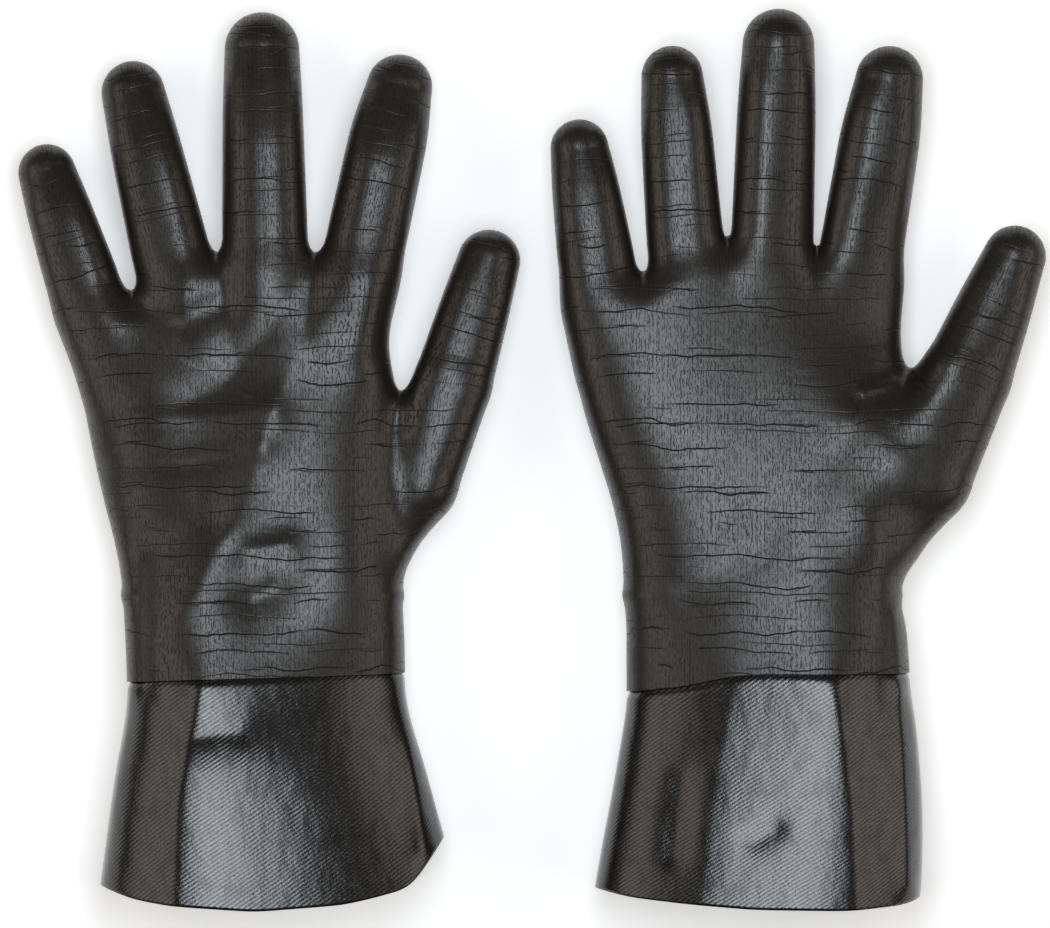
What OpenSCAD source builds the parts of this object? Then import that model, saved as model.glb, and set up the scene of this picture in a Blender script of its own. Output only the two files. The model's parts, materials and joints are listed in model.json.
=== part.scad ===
// A pair of supported rubber gauntlet gloves lying flat: left glove back up, right glove palm up.
// X runs across the pair, Y runs from the cuffs to the fingertips, Z is up from the table.
// Lists of five go: index, middle, ring, little, thumb. Lists of two go: left glove, right glove.

/* [Pair] */
// Distance between the two wrist centres
wrist_spacing = 168.3; // [160:0.1:260]
// Sideways place of the point midway between the wrists
pair_x = -6.5; // [-20:0.1:20]
// Distance of the wrist seams behind the middle of the pair
wrist_back = 48.8; // [30:0.1:80]

/* [Hand] */
// Outside width at the wrist seam
wrist_w = 94; // [86:0.5:104]
// Outside height at the wrist seam
wrist_h = 46; // [40:0.5:54]
// Outside width at the knuckle line
knuckle_w = 111; // [104:0.5:120]
// Outside height at the knuckle line
knuckle_h = 35; // [32:0.5:42]
// Knuckle line in front of the wrist seam
knuckle_y = 86; // [78:0.5:92]
// How far the palm leans to the little finger at the knuckle line, left and right
palm_lean = [12.4, 8.5]; // [0:0.1:20]
// Radius of the web in the crotch between two fingers
web_r = 8; // [5:0.5:11]
// Roundness of the palm and cuff sections, 2 is an ellipse
section_power = 2.4; // [2:0.1:4]
// Depth of the flat that the glove rests on
flat_depth = 1.5; // [1:0.1:2.5]

/* [Layers] */
// Thickness of the rubber coat
coat_t = 1.2; // [0.8:0.1:2]
// Thickness of the knitted liner
liner_t = 0.8; // [0.5:0.1:1.5]
// Thickness of the woven cuff fabric
fabric_t = 0.8; // [0.5:0.1:1.5]
// Clearance between one layer and the next
layer_gap = 0.5; // [0.3:0.05:0.8]
// Clearance between the ends of neighbouring pieces
end_gap = 0.2; // [0.1:0.05:0.5]

/* [Digits] */
// Outside radius at the root of each digit
root_r = [13.6, 14.2, 13.3, 12.2, 14]; // [9:0.1:17]
// Outside radius at the middle bend of each digit
mid_r = [13.2, 13.5, 11.9, 11, 12]; // [8:0.1:16]
// Outside radius at the tip of each digit
tip_r = [11.4, 12.6, 10.8, 10, 10.6]; // [7:0.1:15]
// Length of the stiff part between the two bends of each digit
stall_len = [11.5, 16, 14, 4.5, 12]; // [3:0.1:40]
// Straight length of each tip below its dome
tip_straight = [5.1, 8.4, 6.8, 1.3, 9.3]; // [1:0.1:30]
// How far below the crotch the first bend of a digit starts
root_inset = 3; // [1:0.1:5]
// Largest bend at the knuckles, in degrees
knuckle_bend = 75; // [40:1:85]
// Largest bend at the middle of the fingers, in degrees
middle_bend = 80; // [40:1:90]
// Largest bend at the root of the thumb, in degrees
thumb_root_bend = 40; // [20:1:60]
// Largest bend at the middle of the thumb, in degrees
thumb_middle_bend = 60; // [20:1:80]
// Length to spare in every bend
bend_spare = 1; // [0.5:0.1:3]

/* [Left glove as laid] */
// Sideways place of each digit's root from the wrist centre
left_root_x = [33.4, 1.5, -30, -59.2, 64.3]; // [-80:0.1:80]
// Place of each digit's root in front of the wrist seam
left_root_y = [118, 119, 112.5, 105, 72.9]; // [60:0.1:140]
// Height of each digit's root above the table
left_root_z = [18, 18, 17, 16, 17]; // [14:0.1:30]
// Turn of each digit to the little finger's side, in degrees
left_spread = [-13, 1.4, 12.7, 16.7, -16.2]; // [-30:0.1:30]
// Rise of each digit to its tip, in degrees
left_rise = [-3.5, -3.3, -3, -3, -4]; // [-10:0.1:10]
// Sideways place of the ball of the thumb
left_thenar_x = 52; // [44:0.5:62]

/* [Right glove as laid] */
// Sideways place of each digit's root from the wrist centre
right_root_x = [34.2, 4.1, -25.4, -54.2, 69.2]; // [-80:0.1:80]
// Place of each digit's root in front of the wrist seam
right_root_y = [117.6, 120.3, 117.3, 111.5, 75.6]; // [60:0.1:140]
// Height of each digit's root above the table
right_root_z = [18, 18, 17, 16, 20]; // [14:0.1:30]
// Turn of each digit to the little finger's side, in degrees
right_spread = [-7.6, -1.7, 4.4, 8.6, -22.4]; // [-30:0.1:30]
// Rise of each digit to its tip, in degrees
right_rise = [3, 3, 3, 3, 3]; // [-10:0.1:10]
// Sideways place of the ball of the thumb
right_thenar_x = 57; // [44:0.5:62]

/* [Thumb ball] */
// Radius of the ball of the thumb
thenar_r = 16; // [13:0.1:20]
// Ball of the thumb in front of the wrist seam
thenar_y = 39; // [30:0.5:50]
// Radius where the ball of the thumb runs out at the wrist
heel_r = 15; // [12:0.1:20]
// Sideways place of that run-out
heel_x = 33; // [24:0.5:40]
// Run-out in front of the wrist seam
heel_y = 14; // [10:0.5:24]

/* [Cuff] */
// Length from the wrist seam to the cut edge of the cuff
cuff_len = 103; // [80:1:160]
// Length of the rough coat behind the wrist seam, down to its dip line
dip_len = 25; // [20:0.5:40]
// Outside width at the cut edge, left and right
mouth_w = [115, 109]; // [96:0.5:140]
// Sideways place of the cut edge's middle, left and right
mouth_x = [3.2, -0.7]; // [-10:0.1:10]
// Outside height at the cut edge
mouth_h = 60; // [48:0.5:80]
// How much sooner the cut edge ends on the thumb's side, left and right
rim_rise_thumb = [22, 0]; // [0:0.5:30]
// How much sooner the cut edge ends on the little finger's side, left and right
rim_rise_little = [7, 4]; // [0:0.5:30]
// How quickly the cuff flares to its edge, 1 is a straight cone
flare_power = 1.3; // [1:0.1:2]

/* [Folds] */
// Ridges on the back of the left hand, each a path of [x, y] points from the wrist centre
left_ridges = [[[26, 91], [10, 64], [-8, 30]], [[-7, 94], [-26, 75]]]; // [-60:0.5:110]
// Valleys on the back of the left hand, given in the same way
left_valleys = [[[12, 96], [-7, 77], [-26, 64]], [[-34, 34], [-12, 41]]]; // [-60:0.5:110]
// Height of a ridge above the hand
ridge_h = 3; // [1:0.1:4]
// Depth of a valley in the hand
valley_h = 2.5; // [1:0.1:4]
// Half width of the round form that makes a ridge or a valley
fold_r = 20; // [14:0.5:24]
// Half height of that form
fold_rise = 10; // [7:0.5:12]
// Angles of the left cuff's lengthwise folds, from the thumb's side over the top
left_cuff_fold_at = [30, 47, 88, 106, 127]; // [0:1:180]
// Height of each of these folds, less than zero in a valley
left_cuff_fold_h = [2.5, -2, -2.5, 3.5, -3]; // [-5:0.1:5]
// Angles of the right cuff's lengthwise folds
right_cuff_fold_at = [30, 57, 80, 104]; // [0:1:180]
// Height of each of these folds
right_cuff_fold_h = [2, -3.5, 1.5, -3.5]; // [-5:0.1:5]
// Half width of a cuff fold, as an angle of the cuff section
cuff_fold_angle = 9; // [5:1:20]

/* [Seams] */
// Length of the seam band that joins the liner to the cuff fabric
wrist_seam_len = 5; // [3:0.5:8]
// Thickness of the seam band
wrist_seam_t = 0.9; // [0.5:0.1:1.5]
// Gap between the liner and the cuff fabric under the seam band
seam_slot = 1; // [0.5:0.1:2]
// Width of the side seam's turned edge, as an angle of the cuff section
side_seam_angle = 12; // [6:1:24]
// Thickness of the side seam's turned edge
side_seam_t = 1.2; // [0.6:0.1:2]

/* [Hidden] */
SIDES = ["left", "right"];
DIGITS = ["index", "middle", "ring", "little", "thumb"];
THUMB = 4;
COAT = "#2b2826";
CUFF = "#17171a";
KNIT = "#b9b3a4";
TWILL = "#6d6a66";
THREAD = "#3a3836";
section_sides = 24;
fold_steps = 2;
fold_sides = 12;
fold_onset = 3;
digit_sides = 16;
dome_steps = 8;
flare_rings = 6;
hand_slices = 4;
slice_t = 0.3;
corner_angle = 360 / section_sides;
slab_back = 5;
pierce = 1;
lean_power = 1.6;
slab_spare = 1.5;

root_x = [left_root_x, right_root_x];
root_y = [left_root_y, right_root_y];
root_z = [left_root_z, right_root_z];
spread = [left_spread, right_spread];
rise = [left_rise, right_rise];
thenar_x = [left_thenar_x, right_thenar_x];
ridges = [left_ridges, []];
valleys = [left_valleys, []];
cuff_fold_at = [left_cuff_fold_at, right_cuff_fold_at];
cuff_fold_h = [left_cuff_fold_h, right_cuff_fold_h];
wrist_x = [pair_x - wrist_spacing / 2, pair_x + wrist_spacing / 2];

// Depth below the outer surface of each layer's two faces
liner_out = coat_t + layer_gap;
liner_in = liner_out + liner_t;
fabric_out = coat_t + layer_gap;
fabric_in = fabric_out + fabric_t;
seam_out = max(liner_in, fabric_in) + layer_gap;
side_seam_out = fabric_in + layer_gap;

// Stations along each digit, measured from its root at the crotch
first_bend = [for (d = [0:THUMB]) d == THUMB ? thumb_root_bend : knuckle_bend];
second_bend = [for (d = [0:THUMB]) d == THUMB ? thumb_middle_bend : middle_bend];
first_flex = [for (d = [0:THUMB]) 2 * root_r[d] * tan(first_bend[d] / 2) + bend_spare];
second_flex = [for (d = [0:THUMB]) 2 * mid_r[d] * tan(second_bend[d] / 2) + bend_spare];
stall_from = [for (d = [0:THUMB]) first_flex[d] - root_inset];
second_from = [for (d = [0:THUMB]) stall_from[d] + stall_len[d]];
tip_from = [for (d = [0:THUMB]) second_from[d] + second_flex[d]];
dome_at = [for (d = [0:THUMB]) tip_from[d] + tip_straight[d]];
mid_at = [for (d = [0:THUMB]) second_from[d] + second_flex[d] / 2];

// Outside radius of a digit at a station along it
function digit_r(d, at) =
    lookup(at, [[0, root_r[d]], [mid_at[d], mid_r[d]], [dome_at[d], tip_r[d]]]);

// Width, height and middle of the palm section in front of the wrist seam
function palm_w(y) = wrist_w + (knuckle_w - wrist_w) * y / knuckle_y;
function palm_h(y) = wrist_h + (knuckle_h - wrist_h) * y / knuckle_y;
function palm_x(s, y) = -palm_lean[s] * pow(max(0, y) / knuckle_y, lean_power);
function palm_top(s, x, y) =
    let (u = min(1, abs(x - palm_x(s, y)) / (palm_w(y) / 2)))
    palm_h(y) / 2 * (1 + pow(1 - pow(u, section_power), 1 / section_power)) - flat_depth;

// Width, height and middle of the cuff section behind the wrist seam, y is negative there
function flare(y) = pow(max(0, -y - dip_len) / (cuff_len - dip_len), flare_power);
function cuff_w(s, y) = wrist_w + (mouth_w[s] - wrist_w) * flare(y);
function cuff_h(y) = wrist_h + (mouth_h - wrist_h) * flare(y);
function cuff_x(s, y) = mouth_x[s] * flare(y);
function rim_rise(s, a) =
    rim_rise_thumb[s] * pow(max(0, cos(a)), 2) + rim_rise_little[s] * pow(max(0, -cos(a)), 2);

// A point of a rounded section that rests on the table, at a depth below its outer surface
function rounded(v) = sign(v) * pow(abs(v), 2 / section_power);
function section_point(x, w, h, a, depth) = [
    x + (w / 2 - depth) * rounded(cos(a)),
    max(depth, h / 2 - flat_depth + (h / 2 - depth) * rounded(sin(a)))];
function around(n) = [for (i = [0:n - 1]) 360 * i / n];

// The same between two corners of the section, on its flat facet
function facet_point(x, w, h, a, depth) =
    let (corner = floor(a / corner_angle), share = a / corner_angle - corner)
    (1 - share) * section_point(x, w, h, corner * corner_angle, depth)
        + share * section_point(x, w, h, (corner + 1) * corner_angle, depth);

// How far the folds lift the cuff wall, from nothing at the dip line
function sum(list, i = 0) = i == len(list) ? 0 : list[i] + sum(list, i + 1);
function cuff_lift(s, a, y) =
    min(1, fold_onset * max(0, -y - dip_len) / (cuff_len - dip_len))
        * sum([for (i = [0:len(cuff_fold_at[s]) - 1])
            cuff_fold_h[s][i] * exp(-pow((a - cuff_fold_at[s][i]) / cuff_fold_angle, 2))]);

// A point of the cuff wall at an angle and a station, which is [distance, share of the rim's rise]
function cuff_point(s, a, station, depth) =
    let (y = station[0] + station[1] * rim_rise(s, a),
         p = facet_point(cuff_x(s, y), cuff_w(s, y), cuff_h(y), a, depth - cuff_lift(s, a, y)))
    [p[0], y, p[1]];

// Angles around the cuff, closer together on the upper side, where the folds are
cuff_angles = [for (i = [0:1 / fold_steps:section_sides - 1 / fold_steps])
    if (i < section_sides / 2 || i == floor(i)) corner_angle * i];

// Stations of the flare, from the dip line to the cut edge
function flare_station(share) = [-dip_len - (cuff_len - dip_len) * share, share];
flare_stations = [for (j = [0:flare_rings - 1]) flare_station(j / (flare_rings - 1))];

module in_glove(s) {
    translate([wrist_x[s], -wrist_back, 0]) children();
}

// Local Z runs along the digit from its root
module on_digit(s, d) {
    translate([root_x[s][d], root_y[s][d], root_z[s][d]])
        rotate([0, 0, spread[s][d]])
            rotate([rise[s][d] - 90, 0, 0])
                children();
}

module section_slice(y, x, w, h, depth) {
    translate([0, y + slice_t, 0])
        rotate([90, 0, 0])
            linear_extrude(slice_t)
                polygon([for (a = around(section_sides)) section_point(x, w, h, a, depth)]);
}

module palm_slice(s, y, depth) {
    section_slice(y, palm_x(s, y), palm_w(y), palm_h(y), depth);
}

module digit_slice(s, d, at, depth) {
    on_digit(s, d)
        translate([0, 0, at])
            cylinder(h = slice_t, r = digit_r(d, at) - depth, $fn = digit_sides);
}

// The palm from the wrist seam to the knuckle line
module palm_body(s, depth, from) {
    steps = [for (i = [0:hand_slices - 1]) from + (knuckle_y - from - depth) * i / (hand_slices - 1)];
    for (i = [0:hand_slices - 2])
        hull() {
            palm_slice(s, steps[i], depth);
            palm_slice(s, steps[i + 1], depth);
        }
}

// The palm narrows into the root of one finger
module finger_root(s, d, depth, reach) {
    slab_x = root_x[s][d] + (root_y[s][d] - knuckle_y) * tan(spread[s][d]);
    hull() {
        section_slice(knuckle_y - slab_back - coat_t + depth, slab_x, 2 * (root_r[d] + slab_spare), knuckle_h,
                      depth);
        digit_slice(s, d, reach - root_inset - slice_t, depth);
    }
}

module ball(x, y, z, r) {
    translate([x, y, z]) sphere(r, $fn = digit_sides);
}

// The web of the crotch between one finger and the next
module finger_web(s, d, depth) {
    x = (root_x[s][d] + root_x[s][d + 1]) / 2;
    y = min(root_y[s][d], root_y[s][d + 1]) - root_inset - layer_gap - web_r;
    z = (root_z[s][d] + root_z[s][d + 1]) / 2;
    hull() {
        section_slice(knuckle_y - slab_back - coat_t + depth, x, 2 * root_r[d], knuckle_h, depth);
        ball(x, y, z, web_r - depth);
    }
}

// The ball of the thumb, from the thumb's root to the wrist
module thumb_root(s, depth, reach) {
    web_x = root_x[s][0] - root_r[0];
    hull() {
        digit_slice(s, THUMB, reach - root_inset - slice_t, depth);
        ball(thenar_x[s], thenar_y, thenar_r, thenar_r - depth);
        ball(web_x, root_y[s][THUMB] - root_r[THUMB], thenar_r, thenar_r - depth);
    }
    hull() {
        ball(thenar_x[s], thenar_y, thenar_r, thenar_r - depth);
        ball(heel_x, heel_y, heel_r, heel_r - depth);
        ball(0, thenar_y, thenar_r, thenar_r - depth);
    }
}

// A smooth fold along a path on the hand: grow widens its form and lift is its middle above the hand
module fold(s, path, grow, lift) {
    for (i = [0:len(path) - 2])
        hull()
            for (p = [path[i], path[i + 1]])
                translate([p[0], p[1], palm_top(s, p[0], p[1]) + lift])
                    scale([fold_r + grow, fold_r + grow, fold_rise + grow])
                        sphere(1, $fn = fold_sides);
}

// The whole hand without its digits, at a depth below the outer surface
module hand_form(s, depth, from, reach) {
    difference() {
        union() {
            palm_body(s, depth, from);
            for (d = [0:THUMB - 1]) finger_root(s, d, depth, reach);
            for (d = [0:THUMB - 2]) finger_web(s, d, depth);
            thumb_root(s, depth, reach);
            for (path = ridges[s]) fold(s, path, -depth, ridge_h - fold_rise);
        }
        for (path = valleys[s]) fold(s, path, depth, fold_rise - valley_h);
    }
}

// One digit from inside its root to its tip, at a depth below the outer surface
module digit_form(s, d, depth) {
    hull() {
        digit_slice(s, d, -root_inset - slice_t, depth);
        digit_slice(s, d, mid_at[d], depth);
    }
    hull() {
        digit_slice(s, d, mid_at[d], depth);
        on_digit(s, d)
            translate([0, 0, dome_at[d]])
                sphere(tip_r[d] - depth, $fn = digit_sides);
    }
}

// A round sleeve of the coat between two stations of a digit
module digit_sleeve(s, d, from, to) {
    bottom = from + end_gap / 2;
    top = to - end_gap / 2;
    stations = [for (at = [bottom, mid_at[d], top]) if (at >= bottom && at <= top) at];
    outside = [for (at = stations) [digit_r(d, at), at]];
    inside = [for (i = [len(stations) - 1:-1:0]) [digit_r(d, stations[i]) - coat_t, stations[i]]];
    in_glove(s)
        on_digit(s, d)
            rotate_extrude($fn = digit_sides)
                polygon(concat(outside, inside));
}

// The closed end of a digit
module digit_end(s, d) {
    bottom = tip_from[d] + end_gap / 2;
    r = tip_r[d];
    turn = [for (i = [0:dome_steps]) 90 * i / dome_steps];
    outside = [for (a = turn) [r * cos(a), dome_at[d] + r * sin(a)]];
    inside = [for (i = [dome_steps:-1:0])
        [(r - coat_t) * cos(turn[i]), dome_at[d] + (r - coat_t) * sin(turn[i])]];
    in_glove(s)
        on_digit(s, d)
            rotate_extrude($fn = digit_sides)
                polygon(concat([[digit_r(d, bottom), bottom]], outside, inside,
                               [[digit_r(d, bottom) - coat_t, bottom]]));
}

// A curved wall of the cuff over a list of angles and a list of stations, between two depths
module cuff_wall(s, angles, stations, outer, inner, closed = true) {
    n = len(angles);
    rings = len(stations);
    points = [for (depth = [outer, inner], station = stations, a = angles)
        cuff_point(s, a, station, depth)];
    layer = rings * n;
    last = closed ? n - 1 : n - 2;
    skin = [for (j = [0:rings - 2], i = [0:last])
        let (k = j * n, next = (i + 1) % n) [k + i, k + n + i, k + n + next, k + next]];
    lining = [for (f = skin) [for (i = [2, 1, 0, 3]) f[i] + layer]];
    ends = [for (i = [0:last], j = [0, rings - 1])
        let (k = j * n, next = (i + 1) % n, f = [k + i, k + next, k + next + layer, k + i + layer])
        j == 0 ? f : [f[3], f[2], f[1], f[0]]];
    sides = closed ? [] : [for (j = [0:rings - 2], i = [0, n - 1])
        let (k = j * n + i, f = [k, k + layer, k + n + layer, k + n])
        i == 0 ? f : [f[3], f[2], f[1], f[0]]];
    quads = concat(skin, lining, ends, sides);
    in_glove(s)
        polyhedron(points, [for (f = quads) each [[f[0], f[1], f[2]], [f[0], f[2], f[3]]]]);
}

module hand_coat(s) {
    color(COAT)
        in_glove(s)
            difference() {
                hand_form(s, 0, 0, 0);
                hand_form(s, coat_t, -pierce, pierce);
            }
}

module hand_liner(s) {
    color(KNIT)
        in_glove(s)
            difference() {
                union() {
                    hand_form(s, liner_out, seam_slot / 2, 0);
                    for (d = [0:THUMB]) digit_form(s, d, liner_out);
                }
                hand_form(s, liner_in, -pierce, 0);
                for (d = [0:THUMB]) digit_form(s, d, liner_in);
            }
}

module root_flex(s, d) {
    color(COAT) digit_sleeve(s, d, -root_inset, stall_from[d]);
}

module stall(s, d) {
    color(COAT) digit_sleeve(s, d, stall_from[d], second_from[d]);
}

module middle_flex(s, d) {
    color(COAT) digit_sleeve(s, d, second_from[d], tip_from[d]);
}

module tip(s, d) {
    color(COAT) digit_end(s, d);
}

module wrist_flex(s) {
    color(COAT)
        cuff_wall(s, around(section_sides), [[-end_gap, 0], [end_gap - dip_len, 0]], 0, coat_t);
}

module cuff_coat(s) {
    color(CUFF)
        cuff_wall(s, cuff_angles, flare_stations, 0, coat_t);
}

module cuff_fabric(s) {
    color(TWILL)
        cuff_wall(s, cuff_angles, concat([[-seam_slot / 2, 0]], flare_stations),
                  fabric_out, fabric_in);
}

module wrist_seam(s) {
    color(THREAD)
        cuff_wall(s, around(section_sides), [[wrist_seam_len / 2, 0], [-wrist_seam_len / 2, 0]],
                  seam_out, seam_out + wrist_seam_t);
}

module cuff_side_seam(s) {
    half = side_seam_angle / 2;
    color(THREAD)
        cuff_wall(s, [-half, 0, half], [for (j = [1:flare_rings - 2]) flare_stations[j]],
                  side_seam_out, side_seam_out + side_seam_t, false);
}

for (s = [0, 1]) {
    hand_coat(s);
    wrist_flex(s);
    cuff_coat(s);
    hand_liner(s);
    cuff_fabric(s);
    wrist_seam(s);
    cuff_side_seam(s);
    for (d = [0:THUMB]) {
        root_flex(s, d);
        stall(s, d);
        middle_flex(s, d);
        tip(s, d);
    }
}
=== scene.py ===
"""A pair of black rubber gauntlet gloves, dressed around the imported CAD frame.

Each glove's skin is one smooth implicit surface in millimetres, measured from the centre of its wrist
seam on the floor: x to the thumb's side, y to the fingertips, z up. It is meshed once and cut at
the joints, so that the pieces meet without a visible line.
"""

import json
import math
from functools import cached_property

import bpy
import numpy as np
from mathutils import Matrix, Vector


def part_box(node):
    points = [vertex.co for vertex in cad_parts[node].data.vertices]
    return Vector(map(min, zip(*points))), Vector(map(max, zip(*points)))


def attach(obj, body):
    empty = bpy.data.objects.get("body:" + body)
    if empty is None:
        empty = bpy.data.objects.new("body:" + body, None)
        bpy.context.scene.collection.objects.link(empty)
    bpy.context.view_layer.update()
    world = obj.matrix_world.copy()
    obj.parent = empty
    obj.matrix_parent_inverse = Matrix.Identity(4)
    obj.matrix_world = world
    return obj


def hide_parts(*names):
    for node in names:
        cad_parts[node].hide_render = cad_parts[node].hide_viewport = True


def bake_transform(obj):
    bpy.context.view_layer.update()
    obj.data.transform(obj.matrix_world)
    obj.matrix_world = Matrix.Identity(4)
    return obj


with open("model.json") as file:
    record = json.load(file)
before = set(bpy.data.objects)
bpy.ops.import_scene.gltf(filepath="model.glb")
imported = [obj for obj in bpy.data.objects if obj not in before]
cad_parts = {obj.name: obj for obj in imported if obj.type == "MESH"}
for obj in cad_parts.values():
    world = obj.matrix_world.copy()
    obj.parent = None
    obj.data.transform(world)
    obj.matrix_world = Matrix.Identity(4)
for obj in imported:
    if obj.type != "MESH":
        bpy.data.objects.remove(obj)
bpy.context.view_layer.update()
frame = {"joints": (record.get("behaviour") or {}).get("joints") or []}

import openvdb
from mathutils import Vector

JOINTS = {joint["name"]: joint for joint in frame["joints"]}

MM = 0.001  # metres in a millimetre
PHOTO_W, PHOTO_H = 1050, 928  # the photograph's frame, in pixels
PX = 0.339  # millimetres in a pixel of the photograph
SIDES = ("left", "right")
FINGERS = ("index", "middle", "ring", "little")
DIGITS = FINGERS + ("thumb",)

# Places in the photograph, in pixels. Outline rows are (row, left edge, right edge without the thumb).
WRIST_PX = {"left": (263.5, 600), "right": (760, 600)}
OUTLINE = {
    "left": [(240, 44, 402), (300, 52, 394), (340, 68, 387), (380, 80, 394), (420, 87, 400),
             (460, 95, 401), (500, 104, 402), (540, 115, 402), (580, 123, 402), (598, 124, 402),
             (640, 127, 405), (690, 129, 405), (720, 126, 411), (760, 118, 424), (800, 112, 435),
             (840, 107, 446), (885, 101, 458), (915, 97, 465)],
    "right": [(240, 555, 905), (300, 562, 901), (340, 569, 900), (380, 576, 901), (420, 586, 903),
              (460, 599, 902), (500, 612, 899), (540, 621, 896), (580, 624, 895), (598, 623, 897),
              (620, 627, 906), (660, 626, 908), (700, 627, 911), (720, 624, 916), (760, 617, 919),
              (800, 610, 922), (840, 602, 922), (880, 595, 921), (915, 589, 917)],
}
# The line through the crotches, where the palm ends
WEB_LINE = {
    "left": [(20, 315), (89, 302), (132, 298), (175, 276), (218, 259), (268, 257), (318, 259), (420, 264)],
    "right": [(540, 290), (600, 286), (642, 281), (685, 262), (728, 248), (772, 252), (817, 261), (920, 264)],
}
# The end of the rough coat on the cuff, and the cuff's cut edge
DIP_LINE = {
    "left": [(120, 681), (200, 677), (300, 675), (410, 672)],
    "right": [(615, 692), (680, 685), (720, 676), (750, 672), (920, 672)],
}
RIM_LINE = {
    "left": [(100, 878), (142, 894), (177, 900), (255, 906), (334, 900), (357, 895), (398, 884), (446, 830)],
    "right": [(590, 882), (640, 893), (697, 899), (760, 904), (850, 905), (908, 900), (925, 892)],
}

# Sections of palm, wrist and cuff without their folds, in millimetres: the distance from the wrist seam
# towards the fingers, and the height
HEIGHTS = {
    "left": [(-108, 56), (-80, 50), (-50, 43), (-25, 40.5), (0, 39.5), (25, 38.5), (60, 35.8), (90, 33.4),
             (112, 32.2), (125, 31.5)],
    "right": [(-108, 55.5), (-80, 50), (-50, 44), (-25, 42), (0, 41), (25, 39.5), (60, 36.5), (90, 35),
              (112, 33.5), (125, 32.5)],
}
WIDEST_AT = 0.42  # share of a section's height at which it is widest
TOP_POWER = 3.0  # roundness of a section above its widest place
BASE_POWER = 3.4  # and below it, where it lies on the floor
PROFILE_BLUR = 5.0  # how far the corners of outline and heights are rounded

WRIST_HINGE_BACK = 12.5  # from the wrist seam back to the wrist's hinge
# From each digit's crotch to its first hinge
KNUCKLE_AT = {"index": 7.93, "middle": 8.4, "ring": 7.71, "little": 6.86, "thumb": 2.6}
# Radii of each digit at the crotch, the middle hinge and the tip, the distance from the middle hinge to
# the tip's centre, and how far the digit lies beside the line of its hinges at the crotch and the tip
DIGIT_SHAPE = {
    "left": {
        "index": (13.7, 13.3, 11.2, 15.4, 0.8, -0.2),
        "middle": (14.6, 13.6, 12.7, 20.2, -0.7, -0.4),
        "ring": (13.6, 12.0, 10.8, 18.4, 0.0, -0.8),
        "little": (12.8, 10.9, 9.8, 11.4, -1.0, -2.2),
        "thumb": (13.4, 11.9, 10.7, 16.2, -0.3, -0.1),
    },
    "right": {
        "index": (14.3, 13.6, 11.5, 17.4, 0.0, 1.6),
        "middle": (14.1, 13.3, 12.2, 20.2, 0.0, 0.0),
        "ring": (13.2, 12.1, 10.5, 17.3, 0.3, 0.2),
        "little": (13.4, 11.3, 9.9, 11.2, -0.8, -0.7),
        "thumb": (15.4, 12.7, 10.6, 16.4, 0.4, 0.0),
    },
}
DIGIT_HEIGHT = 0.95  # height of a digit over its width
DIGIT_POWER = 2.6  # squareness of a digit's section, 2 is round
TIP_ROUND = (-14.0, 2.0)  # stretch from the tip's centre over which the section turns round
ARCH = {"left": 3.2, "right": 1.8}  # how far a finger rises above the line of its hinges
ARCH_ROOT = 1.6  # and how far at its root
ARCH_AT = 0.8  # the highest place, as a share of the distance to the middle hinge
ROOT_DEPTH = 30.0  # how far a finger's form runs into the palm
THENAR = {  # the ball of the thumb, from the wrist to the thumb's root: centre and radius
    "left": [((27.5, 5, 15), 11.5), ((39.5, 24, 16), 13.5), ((51, 40, 16), 15.0)],
    "right": [((26, 7, 17), 11.5), ((41.5, 25, 20), 15.0), ((55, 42, 21), 16.5)],
}
ROOT_TAPER = 0.72  # how far a finger's form narrows inside the palm
FINGER_FILLET = 8.0  # rounding between the fingers and the palm
CROTCH_FILLET = 2.5  # rounding between two neighbouring fingers
BALL_FILLET = 1.5  # rounding along the ball of the thumb
THUMB_FILLET = {"left": 7.0, "right": 12.0}  # rounding between the thumb and the palm
PALM_END_ROUND = 12.0  # rounding of the palm's end between the fingers

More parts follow.
